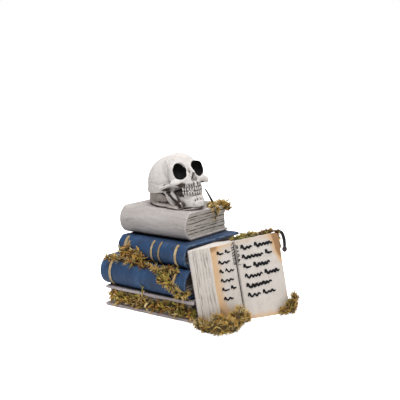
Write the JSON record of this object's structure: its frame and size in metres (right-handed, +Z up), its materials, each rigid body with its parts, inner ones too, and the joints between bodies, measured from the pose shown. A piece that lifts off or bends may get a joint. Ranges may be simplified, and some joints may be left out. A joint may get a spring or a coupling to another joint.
{
  "type": "halloween skull decoration",
  "caption": "Tabletop ornament of a skull on a pile of closed books, with an open book leaning on the pile and dried moss and stems glued along its edges.",
  "frame": {"origin": "middle of the footprint's box, on the surface that the ornament stands on", "axes": "+X along the spines of the closed books towards the open book, +Y from the spines towards the back, +Z up"},
  "size_m": [0.2576, 0.1666, 0.2229],
  "materials": {
    "blue_paint": "hand-painted cast resin, navy blue with a dark worn wash, satin",
    "grey_paint": "hand-painted cast resin, warm grey with brushed wash, matt",
    "lilac_paint": "hand-painted cast resin, lilac grey, matt",
    "page_paint": "hand-painted cast resin, off-white layers with dark grooves, matt",
    "parchment_paint": "hand-painted cast resin, cream with tan stained margins, matt",
    "gold_paint": "antique gold paint on cast resin, satin",
    "bone_paint": "hand-painted cast resin, ivory with a dark brown wash in the hollows, matt",
    "tooth_paint": "hand-painted cast resin, ivory, satin",
    "dark_bone_paint": "hand-painted cast resin, brown-grey wash, matt",
    "moss": "dried moss, golden ochre with olive and reddish-brown strands",
    "stem": "thin dark stem, satin"
  },
  "bodies": {
    "root": {"bottom_book_cover": "lilac_paint", "bottom_book_pages": "page_paint", "lower_blue_book_cover": "blue_paint", "lower_blue_book_pages": "page_paint", "lower_blue_book_band_1": "gold_paint", "lower_blue_book_band_2": "gold_paint", "upper_blue_book_cover": "blue_paint", "upper_blue_book_pages": "page_paint", "upper_blue_book_band_1": "gold_paint", "upper_blue_book_band_2": "gold_paint", "upper_blue_book_band_3": "gold_paint", "upper_blue_book_band_4": "gold_paint", "grey_book_cover": "grey_paint", "grey_book_pages": "page_paint", "open_book_cover": "lilac_paint", "open_book_left_pages": "parchment_paint", "open_book_right_pages": "parchment_paint", "cranium": "bone_paint", "upper_teeth": "tooth_paint", "lower_teeth": "tooth_paint", "mandible": "bone_paint", "skull_plinth": "dark_bone_paint", "spine_moss": "moss", "lower_spine_moss": "moss", "base_moss": "moss", "foot_moss": "moss", "corner_moss": "moss", "top_moss": "moss", "ledge_moss": "moss", "edge_moss": "moss", "skull_stem": "stem", "page_stem": "stem"}
  },
  "joints": []
}
